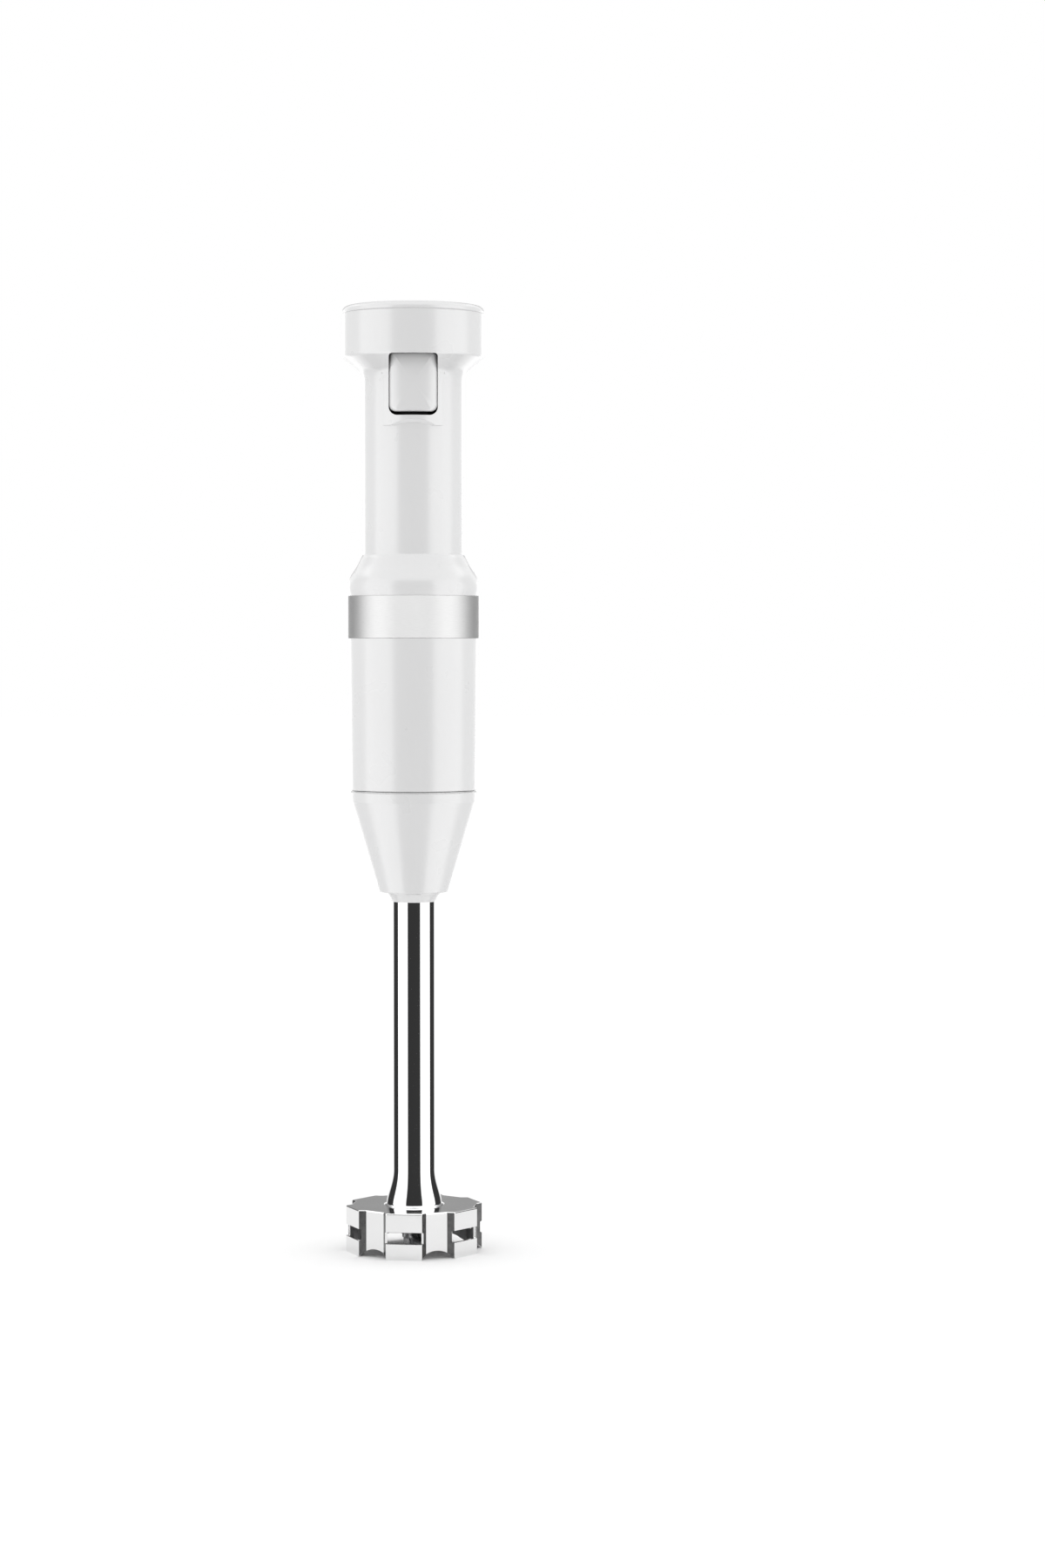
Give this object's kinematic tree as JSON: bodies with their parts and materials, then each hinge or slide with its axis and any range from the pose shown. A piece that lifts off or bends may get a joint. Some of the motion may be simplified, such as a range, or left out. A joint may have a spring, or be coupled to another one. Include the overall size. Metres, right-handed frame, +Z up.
{
  "type": "immersion blender",
  "caption": "Corded stick blender: round-capped white handle with a trigger, brushed band, twist-off steel arm and a lobed blade guard.",
  "frame": {"origin": "centre of the blade guard's foot on the surface that the blender stands on", "axes": "+Z up along the blender's axis, -Y towards the trigger (front), +X to the right seen from the front"},
  "size_m": [0.0608, 0.0608, 0.4064],
  "materials": {
    "white_plastic": "polished white plastic",
    "brushed_band": "brushed around the axis",
    "polished_steel": "mirror polished stainless steel",
    "blade_steel": "ground stainless steel",
    "shaft_steel": "turned steel",
    "screw_steel": "zinc plated",
    "black_rubber": "matte black",
    "dark_plastic": "moulded black",
    "grey_plastic": "moulded grey nylon",
    "circuit_board": "green solder mask",
    "film_capacitor": "yellow film capacitor",
    "ferrite": "ferrite ring",
    "aluminium": "extruded",
    "bracket_metal": "die cast",
    "lamination_steel": "stacked laminations",
    "copper_wire": "enamelled copper",
    "commutator_copper": "turned copper",
    "carbon": "pressed carbon",
    "bearing_steel": "ground",
    "bronze": "sintered bronze",
    "wire_insulation": "insulated wire"
  },
  "bodies": {
    "motor_unit": {"top_cap": "white_plastic", "handle_front_shell": "white_plastic", "handle_rear_shell": "white_plastic", "metal_band": "brushed_band", "motor_housing": "white_plastic", "cord_bush": "black_rubber", "cord_clamp": "grey_plastic", "clamp_screws": "screw_steel", "handle_screws": "screw_steel", "trigger_pivot_pin": "shaft_steel", "trigger_spring": "shaft_steel", "switch_bracket": "dark_plastic", "speed_switch": "dark_plastic", "control_board": "circuit_board", "capacitor": "film_capacitor", "choke_coil": "ferrite", "triac": "dark_plastic", "heat_sink": "aluminium", "mains_leads": "wire_insulation", "motor_leads": "wire_insulation", "field_core": "lamination_steel", "field_coils": "copper_wire", "upper_bracket": "bracket_metal", "lower_bracket": "bracket_metal", "motor_screws": "screw_steel", "upper_bearing": "bearing_steel", "lower_bearing": "bearing_steel", "brush_holders": "dark_plastic", "carbon_brushes": "carbon", "bayonet_socket": "grey_plastic"},
    "trigger": {"trigger": "white_plastic"},
    "switch_plunger": {"switch_plunger": "dark_plastic"},
    "rotor": {"motor_shaft": "shaft_steel", "armature_core": "lamination_steel", "armature_windings": "copper_wire", "commutator": "commutator_copper", "cooling_fan": "dark_plastic", "drive_coupling": "grey_plastic"},
    "arm_carrier": {"arm_gasket": "black_rubber"},
    "blending_arm": {"arm_collar": "white_plastic", "bayonet_spigot": "grey_plastic", "arm_tube": "polished_steel", "bell": "polished_steel", "upper_bush": "bronze", "lower_bush": "bronze", "shaft_seal": "black_rubber"},
    "blade_rotor": {"drive_shaft": "shaft_steel", "driven_coupling": "grey_plastic", "thrust_washer": "shaft_steel", "blade": "blade_steel", "blade_nut": "blade_steel"}
  },
  "joints": [
    {"name": "trigger_press", "type": "hinge", "parent": "motor_unit", "child": "trigger", "pos_m": [0, -0.014, 0.3815], "axis": [1, 0, 0], "range_deg": [0, 8], "stiffness_Nm_per_rad": 0.5, "springref_deg": -5.73, "deforming": ["trigger_spring"]},
    {"name": "switch_press", "type": "slide", "parent": "motor_unit", "child": "switch_plunger", "axis": [0, 1, 0], "range_m": [0, 0.0026]},
    {"name": "motor_spin", "type": "hinge", "parent": "motor_unit", "child": "rotor", "pos_m": [0, 0, 0.25], "axis": [0, 0, 1], "continuous": true},
    {"name": "arm_pull", "type": "slide", "parent": "motor_unit", "child": "arm_carrier", "axis": [0, 0, -1], "range_m": [0, 0.055]},
    {"name": "arm_twist", "type": "hinge", "parent": "arm_carrier", "child": "blending_arm", "pos_m": [0, 0, 0.2], "axis": [0, 0, 1], "range_deg": [0, 30]},
    {"name": "blade_spin", "type": "hinge", "parent": "arm_carrier", "child": "blade_rotor", "pos_m": [0, 0, 0.1], "axis": [0, 0, 1], "continuous": true}
  ],
  "couplings": [
    {"joint": "switch_press", "follows": "trigger_press", "m_per_rad": 0.0175},
    {"joint": "blade_spin", "follows": "motor_spin", "ratio": 1}
  ]
}
